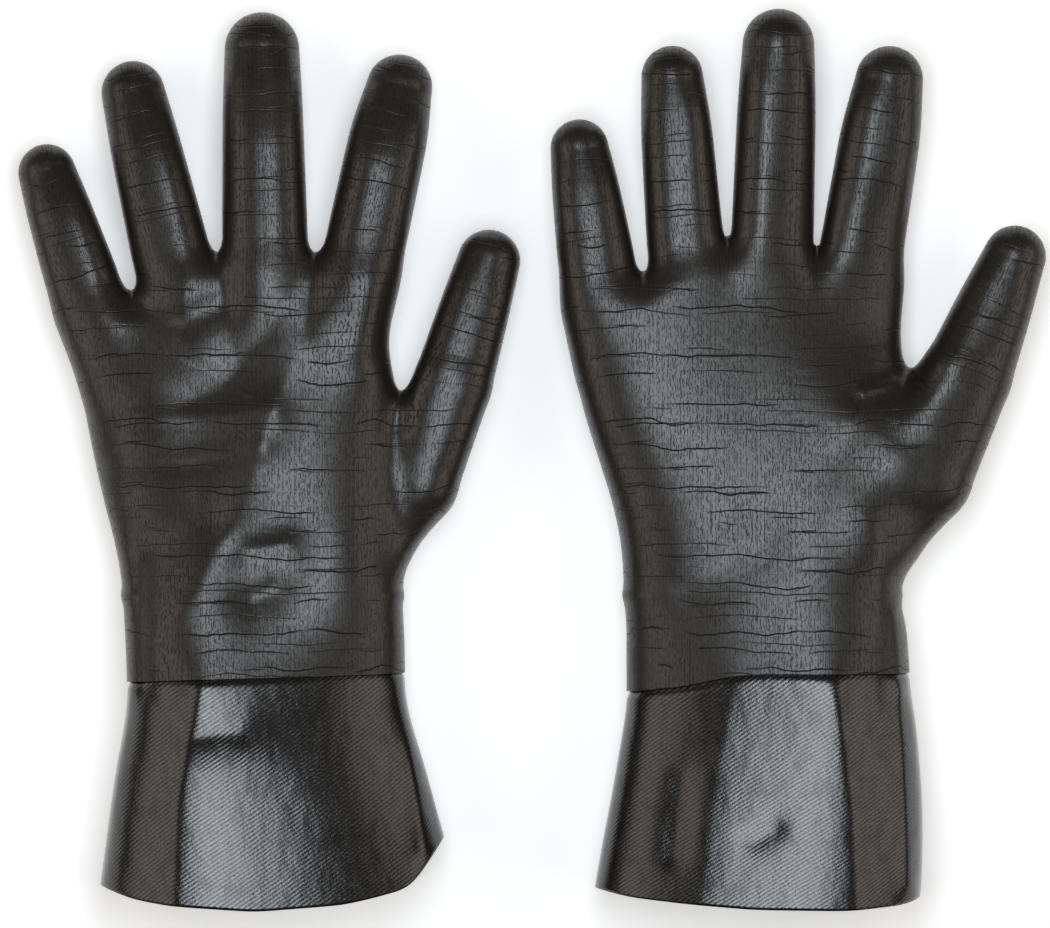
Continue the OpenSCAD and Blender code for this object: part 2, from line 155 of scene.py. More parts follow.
# Soft folds of the upper side. Each is a path of (column, row) places in the photograph, the reach of its
# flanks on the left and the right of that path, the rounding along it, and its height, less than zero in a
# valley, all in millimetres. The paths run from the little finger's side to the thumb's side, or from the
# wrist to the fingers.
FOLDS = {
    "left": [
        # back of the hand: the ridge to the index finger, the valley beside it and the finger's root
        ([(160, 640), (200, 597), (224, 550), (245, 508), (266, 457), (278, 407), (295, 373), (312, 344),
          (338, 296)], 22, 110, 3, 5.5),
        ([(199, 399), (228, 382), (262, 340), (297, 290)], 20, 16, 2, -2.5),
        ([(374, 372), (380, 290)], 5, 5, 8, 2.5),
        # the ridge to the middle finger, and the valley under the ring finger
        ([(160, 400), (212, 348), (258, 285)], 15, 14, 12, 2.5),
        ([(142, 304), (186, 323), (226, 304)], 4, 4, 5, -2.2),
        # two small ridges on the little finger's side, and the hollow between them and the wrist
        ([(132, 424), (190, 421), (275, 412)], 4, 4, 4, 2.0),
        ([(132, 464), (185, 463), (262, 448)], 4, 4, 4, 2.0),
        ([(140, 540), (205, 515)], 14, 9, 6, -4.0),
        # two dents above the wrist, and the groove beside the ball of the thumb
        ([(252, 552), (288, 546)], 5, 14, 3, -3.0),
        ([(256, 598), (276, 590)], 5, 12, 3, -3.2),
        ([(392, 560), (396, 430)], 4, 4, 7, -2.0),
        # along the sides of the wrist
        ([(146, 690), (141, 560)], 2, 6, 1.5, -2.0),
        ([(150, 690), (146, 628)], 8, 30, 6, 2.2),
        ([(390, 690), (392, 600)], 30, 8, 6, 2.2),
        # the fingers' backs
        ([(106, 320), (96, 262), (82, 205)], 6, 6, 8, 1.0),
        ([(186, 290), (184, 230), (170, 150)], 6, 6, 8, 1.0),
        ([(263, 290), (260, 225), (257, 150)], 8, 8, 8, 0.8),
        ([(352, 290), (352, 235), (368, 165)], 6, 6, 8, 1.0),
        # the cuff: its ridge, the hollow on the thumb's side, the crosswise fold and the edge by the thumb
        ([(180, 905), (184, 800), (205, 690)], 10, 55, 2, 4.5),
        ([(400, 905), (395, 690)], 40, 40, 20, -9.0),
        ([(190, 733), (245, 727)], 60, 18, 1.5, 5.0),
        ([(425, 845), (405, 690)], 2, 2, 2, 1.5),
    ],
    "right": [
        # the sides of the palm, under the index finger and under the little finger
        ([(896, 300), (902, 250)], 40, 8, 12, -9.0),
        ([(600, 400), (580, 290)], 8, 30, 10, 3.0),
        # the thumb's crotch, the pinch in it, the thumb's root, and the ball where it joins the palm
        ([(855, 396), (903, 378)], 3, 3, 5, -1.5),
        ([(862, 392), (892, 383)], 1.8, 1.8, 1.5, 1.4),
        ([(870, 415), (900, 395), (928, 362)], 9, 9, 12, 5.0),
        ([(884, 448), (892, 412)], 14, 8, 6, 1.6),
        # the hollow above the wrist, the ridge along the ball of the thumb, and the wrist's edge
        ([(690, 592), (756, 540)], 6, 7, 10, -1.8),
        ([(862, 690), (868, 640), (874, 590), (868, 535)], 40, 6, 5, 3.0),
        ([(898, 690), (893, 610)], 2, 2, 1.5, 1.5),
        # ring, middle and index finger
        ([(707, 230), (700, 110)], 4, 4, 6, 1.0),
        ([(762, 230), (767, 90)], 4, 4, 6, 0.7),
        ([(860, 230), (868, 100)], 4, 4, 6, 0.7),
        # the cuff: its ridge, the hollow on the little finger's side, the second ridge, a dent, the edge by
        # the thumb and another dent
        ([(852, 905), (846, 800), (836, 720), (830, 690)], 55, 10, 2, 4.5),
        ([(640, 905), (650, 690)], 40, 40, 20, -6.0),
        ([(700, 905), (708, 800), (735, 690)], 26, 200, 2, 2.5),
        ([(672, 850), (680, 780)], 3, 3, 4, -1.2),
        ([(906, 880), (898, 690)], 2, 2, 2, 1.5),
        ([(752, 836), (770, 826)], 2, 2, 4, -0.8),
    ],
}
SEAM_RIDGE = (1.5, 2.2, 0.8)  # the wrist seam under the coat: place, width and height

# Where the skin is cut, and the end of a stretch beyond it, from the digit's crotch
ROOT_BEND = {"index": (2, 27), "middle": (2, 29), "ring": (5, 28), "little": (1, 22), "thumb": (1, 16)}
END_BEND = {"index": (28, 55.7), "middle": (33, 62), "ring": (30, 55.5), "little": (22.5, 41),
            "thumb": (18, 37)}
WRIST_BEND = (-24.0, 5.0)  # from the wrist seam

# Layers, from the outside in
COAT_T = 1.0  # rough coat
LINER_GAP = 0.4  # between the rough coat and the liner
LINER_T = 0.8
LINER_BACK = 2.2  # how far the liner ends before the dip line
CUFF_T = 0.7  # glossy coat of the cuff
CUFF_INSET = 0.2  # how far the cuff lies below the rough coat's surface
CUFF_TUCK = 2.0  # how far the cuff runs in under the rough coat
TUCK_GAP = 0.1  # between the rough coat and the cuff under it
TUCK_RISE = (-1.0, 2.5)  # stretch from the rough coat's edge over which the cuff comes up
FABRIC_GAP = 0.2
FABRIC_T = 0.7
FABRIC_SHORT = 0.6  # how far the fabric ends before the cut edge
SEAM_BAND = 2.5  # half the length of the band over the wrist seam
SEAM_T = 0.9
SIDE_SEAM_T = 1.2
SEAM_GAP = 0.2  # between a seam and the layer around it
SEAM_CROWN = (0.6, 4)  # share of its thickness that a seam loses at its edges, and how late

# Meshes
COAT_VOXEL = 1.5
LINER_VOXEL = 2.6
GRID_BACK = 36.0  # how far behind the wrist seam the hand's skin is meshed
GRID_MARGIN = 8.0
NORMAL_STEP = 0.4
LEAST_SLOPE = 0.4  # of the field, where a depth below its surface is measured
TINY_AREA = 1e-9  # these two keep a division from zero
TINY_SHARE = 1e-6
SNAP_REACH = 2.5  # how far an edge vertex may be from the line that it moves to
CUFF_SIDES = 220
CUFF_ROWS = 72
CUFF_FAR = -75.0  # a section in the cuff's middle
ANGLE_STEPS = 20  # trial steps for each of the cuff's sides
SEAM_ROWS = 9
SIDE_SEAM_ROWS = 40
LINE_BLUR = 3.0  # rounding of the web, dip and rim lines
FOLD_FADE = (0.3, 0.7)  # share of the height over which folds come in
SIDE_SHARE = (0.55, 0.95)  # share of a section's half width over which its sides begin
FLOW_TURN = (-12.0, 8.0)  # stations over which the shader coordinates turn with a digit

# Textures, in millimetres. A grain is noise, as lumps per millimetre around, along and up. Bump heights
# end in _H, and pairs of linear colours run from the dark to the light one. An ease is a range of its
# input, and what that becomes at the range's two ends.
NOISE_RANGE = (0.3, 0.7)
FUZZ_RANGE = (0.2, 0.8)
CREASES = [  # crosswise creases: pitch, width, cover, sway, seed and strength
    (7.5, 0.3, 0.5, 1.1, 3.0, 1.0),
    (12.0, 0.36, 0.5, 0.9, 11.0, 1.0),
    (4.1, 0.28, 0.5, 1.4, 23.0, 0.65),
]
CREASE_GRAIN = (1 / 26, 1 / 50, 1 / 26)
CREASE_LENGTH = 30.0
CREASE_H = 0.1
CRACKS = [(0.95, 5.0), (1.5, 31.0)]  # short lengthwise cracks: pitch and seed
CRACK_GRAIN = (1 / 5, 1 / 4, 1 / 5)
CRACK_W = 0.26
CRACK_COVER = 0.56
CRACK_SWAY = 1.7
CRACK_LENGTH = 2.0
CRACK_SHADE = 0.85  # how dark a crack is, against a full crease
LINE_PLACE = (0.25, 0.75)  # share of a row in which its line lies
LINE_FADE = 0.1  # range of the noise over which a line fades out
ROW_SHIFT = (7.31, 3.7)  # sets the noise of neighbouring rows apart
COAT_PATCH_GRAIN = (0.11, 0.07, 0.11)
COAT_FINE_GRAIN = (2.6, 0.9, 2.6)
COAT_SWELL_GRAIN = (0.12, 0.3, 0.12)
COAT_TONE_GRAIN = (0.03, 0.03, 0.03)
PATCH_EASE = (0.35, 0.6, 0.75, 1.0)
COAT_ROUGH = (0.26, 0.36)
COAT_SHINE = (0.5, 0.09)  # beside a groove and in it
COAT_FINE_H, COAT_SWELL_H = 0.03, 0.1
COAT_TONES = (0.0135, 0.0114, 0.0092, 1), (0.019, 0.016, 0.0131, 1)
# painted shade in the creases and cracks: the dark colour that a groove takes
GROOVE_SHADE_TONE = (0.004, 0.0034, 0.0029, 1)
GROOVE_SHADE_SHARE = 0.75  # share of that painted shade in a groove
GROOVE_ROUGH = 0.2  # what a groove adds to the roughness
TWILL_PITCH = 1.2
TWILL_ANGLE = 33.0  # degrees
TWILL_GRAIN = (0.1, 0.1, 0.1)
TWILL_SWAY = 0.8
RIB_SHARE, YARN_SHARE = 0.44, 0.06
COATED_YARN, BARE_YARN = 1.7, 0.9  # length of the twill's stitches
CUFF_BLOTCH_GRAIN = (0.22, 0.12, 0.22)
CUFF_FLECK_GRAIN = (1.5, 1.5, 1.5)
CUFF_SWELL_GRAIN = (0.16, 0.07, 0.1)
CUFF_RIB_H, CUFF_FLECK_H, CUFF_SWELL_H = 0.04, 0.04, 0.13
CUFF_ROUGH = (0.15, 0.25)
BLOTCH_EASE = (0.35, 0.65, 0.35, 1.0)
RIB_SHINE_EASE = (0.05, 0.45, 0.4, 0.85)
FLECK_SHINE_EASE = (0.35, 0.65, 0.6, 1.15)
# painted shade: from the dark colour in the twill's grooves to the light one on its ribs
CUFF_TONES = (0.004, 0.0036, 0.0032, 1), (0.009, 0.008, 0.007, 1)
KNIT_COLUMN, KNIT_COURSE = 1.6, 1.1
KNIT_ZIGZAG = 0.7
KNIT_SHARES = (0.3, 0.2)  # of courses and columns in the loops' height
KNIT_FUZZ_GRAIN = (2.0, 2.0, 2.0)
KNIT_H, KNIT_FUZZ = 0.35, 0.4
KNIT_ROUGH, KNIT_SHEEN = (0.8, 0.95), 0.2
# painted shade: the liner's colour is darker between its loops than on them
KNIT_TONES = (0.26, 0.24, 0.205, 1), (0.5, 0.47, 0.41, 1)
KNIT_TONE_SHARE = 0.9
TWILL_FUZZ_GRAIN = (2.2, 2.2, 2.2)
TWILL_H, TWILL_FUZZ = 0.3, 0.5
TWILL_ROUGH, TWILL_SHEEN = (0.75, 0.95), 0.15
# painted shade: the bare twill's colour is darker in its grooves than on its ribs
TWILL_TONES = (0.07, 0.066, 0.06, 1), (0.17, 0.16, 0.145, 1)
STITCH_PITCH = 2.4
STITCH_SLANT = 0.6
STITCH_SHARE = 0.5
STITCH_FUZZ_GRAIN = (2.5, 2.5, 2.5)
STITCH_H = 0.3
STITCH_ROUGH = (0.7, 0.9)
STITCH_SIDE = 0.6  # of the wave, where a stitch is at its lightest: painted light on its crest, painted shade between stitches
STITCH_TONES = (0.03, 0.028, 0.026, 1), (0.09, 0.085, 0.078, 1)

# Stage
FLOOR = 3.0  # half the floor's side, metres
FLOOR_Z = -0.0004  # metres, just below the gloves
FLOOR_COLOR = (0.86, 0.86, 0.86, 1)
FLOOR_ROUGH = 0.9
FLOOR_GLOW = 0.42  # turns the floor white to the camera
WORLD_LIGHT = 0.08
WORLD_COLOR = (1.0, 0.97, 0.94)
CAMERA_HEIGHT = 3000.0  # millimetres
CAMERA_REACH = 10  # metres
OUTLINE_HEIGHT = 15.0  # the height at which the outline is widest
LAMPS = [  # name, place in metres, size, watts, colour
    ("softbox", (0.0, 0.05, 0.8), (0.3, 0.5), 3.75, (0.89, 0.95, 1.0)),
    ("left_card", (-0.7, 0.0, 0.5), (0.9, 0.6), 2.4, (1.0, 0.93, 0.85)),
    ("right_card", (0.7, 0.0, 0.5), (0.9, 0.6), 2.4, (1.0, 0.93, 0.85)),
]


def smoothstep(x, low, high):
    t = np.clip((x - low) / (high - low), 0.0, 1.0)
    return t * t * (3 - 2 * t)


def smooth_min(a, b, k):
    h = np.clip(k - np.abs(a - b), 0.0, None) / k
    return np.minimum(a, b) - h * h * k / 4


def smooth_max(a, b, k):
    return -smooth_min(-a, -b, k)


class Profile:
    """A smooth curve along (position, value) points, which runs on straight for a few blurs."""

    STEP = 0.5
    BLURS = 3

    def __init__(self, points, blur=PROFILE_BLUR):
        points = sorted(points)
        at, value = np.array(points, float).T
        reach = self.BLURS * blur
        self.at = np.arange(at[0] - reach, at[-1] + reach, self.STEP)
        rough = np.interp(self.at, at, value)
        ends = (self.at < at[0]), (self.at > at[-1])
        for end, i, j in ((ends[0], 0, 1), (ends[1], -1, -2)):
            slope = (value[i] - value[j]) / (at[i] - at[j])
            rough[end] = value[i] + slope * (self.at[end] - at[i])
        kernel = np.exp(-0.5 * (np.arange(-reach, reach + self.STEP, self.STEP) / blur) ** 2)
        pad = len(kernel) // 2
        padded = np.pad(rough, pad, mode="reflect", reflect_type="odd")
        self.value = np.convolve(padded, kernel / kernel.sum(), mode="valid")[: len(self.at)]

    def __call__(self, x):
        return np.interp(x, self.at, self.value)


class Digit:
    """One finger or thumb: the axis through its two hinges, its own middle line and its radii."""

    def __init__(self, glove, name):
        side = glove.side
        root_joint = f"{side}_thumb_root" if name == "thumb" else f"{side}_{name}_knuckle"
        first = glove.local(JOINTS[root_joint]["pos_m"])
        second = glove.local(JOINTS[f"{side}_{name}_middle"]["pos_m"])
        gap = np.linalg.norm(second - first)
        self.name = name
        self.axis = (second - first) / gap
        self.root = first - self.axis * KNUCKLE_AT[name]
        self.middle_at = KNUCKLE_AT[name] + gap
        root_r, middle_r, tip_r, reach, root_beside, tip_beside = DIGIT_SHAPE[side][name]
        self.tip_at = self.middle_at + reach
        self.starts_at = 0.0 if name == "thumb" else -ROOT_DEPTH
        self.radius = Profile([(-ROOT_DEPTH, ROOT_TAPER * root_r), (0, root_r), (self.middle_at, middle_r),
                               (self.tip_at, tip_r)])
        flat = self.axis[:2] / np.linalg.norm(self.axis[:2])
        self.along, self.across = flat, np.array([flat[1], -flat[0]])
        self.beside = Profile([(-ROOT_DEPTH, 0), (0, root_beside), (self.tip_at, tip_beside)])
        arch, root_arch = (0.0, 0.0) if name == "thumb" else (ARCH[side], ARCH_ROOT)
        self.arch = Profile([(-ROOT_DEPTH, root_arch), (0, root_arch), (ARCH_AT * self.middle_at, arch),
                             (self.tip_at, 0)])
        ball = [(np.array(centre, float), r) for centre, r in THENAR[side]] if name == "thumb" else []
        self.ball = list(zip(ball, ball[1:] + [(self.spine(np.zeros(1))[0], root_r)]))

    def point(self, station):
        return self.root + self.axis * station

    def spine(self, at):
        """Points of the digit's own middle line, which lies beside and above the line of its hinges."""
        out = self.root + at[:, None] * self.axis
        out[:, :2] += self.beside(at)[:, None] * self.across
        out[:, 2] += self.arch(at)
        return out

    def station(self, p):
        return (p - self.root) @ self.axis

    def field(self, p):
        """Distance from the digit's surface, less than zero inside."""
        station = self.station(p)
        at = np.clip(station, self.starts_at, self.tip_at)
        at_tip = smoothstep(station - self.tip_at, *TIP_ROUND)
        power = DIGIT_POWER + (2 - DIGIT_POWER) * at_tip
        out = self.round_off(p - self.spine(at), power) - self.radius(at)
        for (a, ra), (b, rb) in self.ball:
            ab = b - a
            t = np.clip(((p - a) @ ab) / (ab @ ab), 0, 1)
            ball = self.round_off(p - a - t[:, None] * ab, DIGIT_POWER) - (ra + t * (rb - ra))
            out = smooth_min(out, ball, BALL_FILLET)
        return out

    @staticmethod
    def round_off(d, power):
        """Length of offsets from the axis, for a digit that is a little flatter and squarer than round."""
        beside, above = np.hypot(d[:, 0], d[:, 1]), np.abs(d[:, 2]) / DIGIT_HEIGHT
        return (beside**power + above**power) ** (1 / power)


class Glove:
    """One glove's shape, in its own millimetres."""

    def __init__(self, side):
        self.side = side
        hinge = np.array(JOINTS[f"{side}_wrist"]["pos_m"]) / MM
        self.origin = np.array([hinge[0], hinge[1] + WRIST_HINGE_BACK, 0.0])
        self.left = Profile([self.from_px(left, row)[::-1] for row, left, _ in OUTLINE[side]])
        self.right = Profile([self.from_px(right, row)[::-1] for row, _, right in OUTLINE[side]])
        self.height = Profile(HEIGHTS[side])
        self.web = Profile([self.from_px(*p) for p in WEB_LINE[side]], LINE_BLUR)
        self.dip = Profile([self.from_px(*p) for p in DIP_LINE[side]], LINE_BLUR)
        self.rim = Profile([self.from_px(*p) for p in RIM_LINE[side]], LINE_BLUR)
        self.folds = [(np.array([self.from_px(*p) for p in path]), *sizes) for path, *sizes in FOLDS[side]]
        self.digits = [Digit(self, name) for name in DIGITS]

    def from_px(self, column, row):
        """A pixel of the photograph as a place on this glove."""
        wrist = WRIST_PX[self.side]
        return (column - wrist[0]) * PX, (wrist[1] - row) * PX

    def local(self, metres):
        return np.array(metres) / MM - self.origin

    def world(self, p):
        return (np.asarray(p) + self.origin) * MM

    def section(self, y):
        """Centre, half width, widest height and full height of the palm, wrist and cuff at y."""
        left, right, height = self.left(y), self.right(y), self.height(y)
        return (left + right) / 2, (right - left) / 2, WIDEST_AT * height, height

    def relief(self, x, y):
        """How far the folds lift the upper side."""
        lift = np.zeros_like(x)
        p = np.stack([x, y], 1)
        for path, left_reach, right_reach, rounding, height in self.folds:
            nearest = np.full(len(p), np.inf)
            reach = np.empty(len(p))
            for a, b in zip(path, path[1:]):
                ab = b - a
                t = np.clip(((p - a) @ ab) / (ab @ ab), 0, 1)
                off = p - (a + t[:, None] * ab)
                away = np.hypot(*off.T)
                cross = ab[0] * off[:, 1] - ab[1] * off[:, 0]
                left_share = 0.5 + 0.5 * cross / (np.hypot(*ab) * away + TINY_AREA)
                closer = away < nearest
                nearest[closer] = away[closer]
                reach[closer] = (right_reach + (left_reach - right_reach) * left_share)[closer]
            lift += height * np.exp((rounding - np.hypot(nearest, rounding)) / reach)
        return lift

    def unfold(self, p):
        """Points with the folds of the upper side taken out."""
        x, y, z = p.T
        share = smoothstep(z / self.height(y), *FOLD_FADE)
        return np.stack([x, y, z - share * self.relief(x, y)], 1)

    def tube_field(self, p):
        """Distance from the palm, wrist and cuff alone."""
        x, y, z = p.T
        centre, half, widest, height = self.section(y)
        place, width, ridge = SEAM_RIDGE
        half = half + ridge * np.exp(-(((y - place) / width) ** 2))
        upper = z > widest
        tall = np.where(upper, height - widest, widest)
        power = np.where(upper, TOP_POWER, BASE_POWER)
        u, v = np.abs(x - centre) / half, np.abs(z - widest) / tall
        q = (u**power + v**power) ** (1 / power) + TINY_SHARE
        slope = np.hypot((u / q) ** (power - 1) / half, (v / q) ** (power - 1) / tall)
        return smooth_max((q - 1) / slope, y - self.web(x), PALM_END_ROUND)

    def fields(self, p):
        """Distances from each digit and, last, from the palm."""
        p = self.unfold(p)
        return [digit.field(p) for digit in self.digits] + [self.tube_field(p)]

    def field(self, p):
        """Distance from the rough coat's surface, less than zero inside."""
        *fingers, thumb, palm = self.fields(p)
        joined = fingers[0]
        for f in fingers[1:]:
            joined = smooth_min(joined, f, CROTCH_FILLET)
        return smooth_min(smooth_min(palm, joined, FINGER_FILLET), thumb, THUMB_FILLET[self.side])

    def normals(self, p):
        """Unit normals of the field at p."""
        grad = np.empty_like(p)
        for k in range(3):
            d = np.zeros(3)
            d[k] = NORMAL_STEP
            grad[:, k] = self.field(p + d) - self.field(p - d)
        return grad / np.linalg.norm(grad, axis=1)[:, None]

    def skin(self, voxel, depth):
        """Vertices and quads of the surface that lies depth below the rough coat's."""
        low = np.array([self.left.value.min(), -GRID_BACK, 0.0]) - GRID_MARGIN
        tips = np.array([digit.point(digit.tip_at) for digit in self.digits])
        high = np.array([tips[:, 0].max(), tips[:, 1].max(), self.height(0.0)]) + 2 * GRID_MARGIN
        counts = np.ceil((high - low) / voxel).astype(int)
        axes = [low[k] + voxel * np.arange(counts[k]) for k in range(3)]
        points = np.stack(np.meshgrid(*axes, indexing="ij"), -1).reshape(-1, 3)
        values = self.field(points).reshape(counts)
        if depth:
            slope = np.sqrt(sum(g * g for g in np.gradient(values, voxel)))
            values = values / np.clip(slope, LEAST_SLOPE, None) + depth
        grid = openvdb.FloatGrid(float(values.max()))
        grid.copyFromArray(np.ascontiguousarray(values, np.float32))
        verts, quads = grid.convertToQuads(isovalue=0.0)
        verts, quads = verts * voxel + low, quads.astype(int)
        corner = verts[quads]
        facing = np.cross(corner[:, 2] - corner[:, 0], corner[:, 3] - corner[:, 1])
        if (facing * self.normals(corner.mean(1))).sum() < 0:
            quads = quads[:, ::-1]
        return verts, quads

    def flow(self, p):
        """Shader coordinates: around, along and up, turned with each digit beyond its crotch."""
        nearest = np.argmin(self.fields(p), axis=0)
        out = p.copy()
        centre, half, _, height = self.section(p[:, 1])
        out[:, 0] += self.drop(p[:, 0] - centre, half, height - p[:, 2])
        for i, digit in enumerate(self.digits):
            on = nearest == i
            q = p[on]
            station = digit.station(q)
            at = np.clip(station, digit.starts_at, digit.tip_at)
            beside = (q - digit.spine(at))[:, :2] @ digit.across
            top = digit.spine(at)[:, 2] + DIGIT_HEIGHT * digit.radius(at)
            from_root = q[:, :2] - digit.root[:2]
            turned = digit.root[:2] + np.stack([from_root @ digit.across, from_root @ digit.along], 1)
            turned[:, 0] += self.drop(beside, digit.radius(at), top - q[:, 2])
            share = smoothstep(station, *FLOW_TURN)[:, None]
            out[on, :2] = (1 - share) * out[on, :2] + share * turned
        return out

    @staticmethod
    def drop(beside, half, below):
        """What a place low on a side adds to its coordinate around the section."""
        return np.sign(beside) * smoothstep(np.abs(beside) / half, *SIDE_SHARE) * below

    def cut(self, verts, quads, back):
        """Splits a skin at the joints: {piece: quads}. The cut edges are moved onto straight lines."""
        centre = verts[quads].mean(1)
        nearest = np.argmin(self.fields(centre), axis=0)
        region = np.where(centre[:, 1] > WRIST_BEND[1], "hand", "wrist").astype("<U16")
        region[centre[:, 1] < self.dip(centre[:, 0]) + back] = ""
        for i, digit in enumerate(self.digits):
            station = digit.station(centre)
            for name, (start, _) in ((f"{digit.name}_root", ROOT_BEND[digit.name]),
                                     (f"{digit.name}_end", END_BEND[digit.name])):
                region[(nearest == i) & (station > start)] = name
        touched = {}
        for name in np.unique(region):
            touched[name] = np.zeros(len(verts), bool)
            touched[name][quads[region == name]] = True
        edge = touched["wrist"] & touched["hand"]
        verts[edge, 1] = WRIST_BEND[1]
        edge = touched["wrist"] & touched[""]
        verts[edge, 1] = self.dip(verts[edge, 0]) + back
        for digit in self.digits:
            name = digit.name
            for below, above, start in (("hand", f"{name}_root", ROOT_BEND[name][0]),
                                        (f"{name}_root", f"{name}_end", END_BEND[name][0])):
                off = digit.station(verts) - start
                edge = touched[below] & touched[above] & (np.abs(off) < SNAP_REACH)
                verts[edge] -= off[edge, None] * digit.axis
        return {name: quads[region == name] for name in touched if name}

    def cuff_grid(self, inset, back, rim_gap):
        """Points of the cuff wall, from under the rough coat to the rim, and their shader coordinates."""
        angle = self.even_angles()
        x = self.section_point(angle, np.full(CUFF_SIDES, CUFF_FAR), 0.0)[:, 0]
        first = self.dip(x) + back
        last = self.rim(x) + rim_gap
        rows, coords = [], []
        for share in np.linspace(0, 1, CUFF_ROWS):
            y = first + (last - first) * share
            under = 1 - smoothstep(self.dip(x) - y, *TUCK_RISE)
            p = self.section_point(angle, y, inset + under * (COAT_T - CUFF_INSET + TUCK_GAP))
            rows.append(p)
            step = np.linalg.norm(np.diff(p, axis=0, append=p[:1])[:, ::2], axis=1)
            around = np.concatenate([[0], np.cumsum(step)[:-1]])
            coords.append(np.stack([around[CUFF_SIDES // 4] - around, y, np.zeros(CUFF_SIDES)], 1))
        return np.concatenate(rows), np.concatenate(coords)

    def section_point(self, angle, y, inset):
        """A point of the palm, wrist or cuff section at an angle from the thumb's side, with its folds."""
        centre, half, widest, height = self.section(y)
        c, s = np.cos(angle), np.sin(angle)
        power = np.where(s > 0, TOP_POWER, BASE_POWER)
        tall = np.where(s > 0, height - widest, widest)
        x = centre + (half - inset) * np.sign(c) * np.abs(c) ** (2 / power)
        z = widest + (tall - inset) * np.sign(s) * np.abs(s) ** (2 / power)
        lift = smoothstep(z / height, *FOLD_FADE) * self.relief(x, y)
        return np.stack([x, y, z + lift], 1)

    def side_point(self, y, z, inset):
        """A point of the cuff's wall on the thumb's side, at a height."""
        centre, half, widest, height = self.section(y)
        upper = z > widest
        power = np.where(upper, TOP_POWER, BASE_POWER)
        v = np.abs(z - widest) / np.where(upper, height - widest, widest)
        return np.stack([centre + (half - inset) * (1 - v**power) ** (1 / power), y, z], 1)

    def even_angles(self):
        """Angles that divide the cuff's middle section into equal lengths."""
        fine = np.linspace(0, 2 * math.pi, ANGLE_STEPS * CUFF_SIDES + 1)
        p = self.section_point(fine, np.full(len(fine), CUFF_FAR), 0.0)
        length = np.concatenate([[0], np.cumsum(np.linalg.norm(np.diff(p, axis=0), axis=1))])
        return np.interp(np.arange(CUFF_SIDES) / CUFF_SIDES * length[-1], length, fine)


def boundary_edges(faces, count):
    """Directed edges that only one face uses."""
    following = np.roll(faces, -1, 1)
    edges = np.concatenate([np.stack(pair, 1) for pair in zip(faces.T, following.T)])
    code = edges[:, 0] * count + edges[:, 1]
    return edges[~np.isin(code, edges[:, 1] * count + edges[:, 0])]


def wall(outer, inner, faces):
    """A closed wall between two matching surfaces: its vertices and faces."""
    n = len(outer)
    a, b = boundary_edges(faces, n).T
    rim = np.stack([b, a, a + n, b + n], 1)
    return np.concatenate([outer, inner]), np.concatenate([faces, faces[:, ::-1] + n, rim])


def add_piece(name, points, faces, coords, normals, material):
    """A mesh object in the frame. Points are in metres and coords are its shader coordinates."""
    mesh = bpy.data.meshes.new(name)
    mesh.from_pydata(points.tolist(), [], faces.tolist())
    mesh.polygons.foreach_set("use_smooth", np.ones(len(faces), bool))
    flow = mesh.attributes.new("flow", "FLOAT_VECTOR", "POINT")
    flow.data.foreach_set("vector", coords.astype(np.float32).ravel())
    mesh.materials.append(material)
    if normals is not None:
        mesh.normals_split_custom_set_from_vertices(normals.tolist())
    obj = bpy.data.objects.new(name, mesh)
    bpy.context.scene.collection.objects.link(obj)
    return obj


def skin_pieces(glove, label, voxel, depth, thickness, back, materials):
    """Meshes one layer of the hand and returns its pieces: {region: object}."""
    verts, quads = glove.skin(voxel, depth)
    regions = glove.cut(verts, quads, back)
    normals = glove.normals(verts)
    coords = glove.flow(verts)
    out = {}
    for region, faces in regions.items():
        used, local = np.unique(faces, return_inverse=True)
        local = local.reshape(faces.shape)
        outer, n = verts[used], normals[used]
        points, faces = wall(outer, outer - thickness * n, local)
        material, slot = materials(region)
        out[region] = add_piece(f"{glove.side}_{label}_{region}", glove.world(points), faces,
                                np.tile(coords[used], (2, 1)), np.concatenate([n, -n]), material)
    return out


def bend_pieces(glove, pieces):
    """Lets the hand piece of one layer follow the hand; the wrist and digit pieces only have their placement
    baked into their meshes.
    """
    side = glove.side
    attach(pieces["hand"], f"{side}_hand")
    bend_wrist(glove, pieces["wrist"])
    for digit in glove.digits:
        name = digit.name
        stall, tip = f"{side}_{name}_stall", f"{side}_{name}_tip"
        for part, a, b, span in (("root", f"{side}_hand", stall, ROOT_BEND), ("end", stall, tip, END_BEND)):
            start, end = (glove.world(digit.point(s)) for s in span[name])
            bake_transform(pieces[f"{name}_{part}"])


def bend_wrist(glove, obj):
    start, end = (glove.world((0.0, y, 0.0)) for y in WRIST_BEND)
    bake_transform(obj)


def grid_faces(rows, sides, closed):
    """Quads of a grid of points, row after row."""
    j, i = np.meshgrid(np.arange(rows - 1), np.arange(sides if closed else sides - 1), indexing="ij")
    a, b = j * sides + i, j * sides + (i + 1) % sides
    return np.stack([a, a + sides, b + sides, b], -1).reshape(-1, 4)


def wall_piece(glove, label, outer, inner, faces, coords, material):
    """A closed wall between two matching grids of points, as a piece of the glove."""
    points, faces = wall(outer, inner, faces)
    coords = np.tile(coords, (2, 1))
    return add_piece(f"{glove.side}_{label}", glove.world(points), faces, coords, None, material)


def crown(thickness, share):
    """A seam's thickness at a share of the way from its middle to its edges."""
    loss, power = SEAM_CROWN
    return thickness * (1 - loss * share**power)


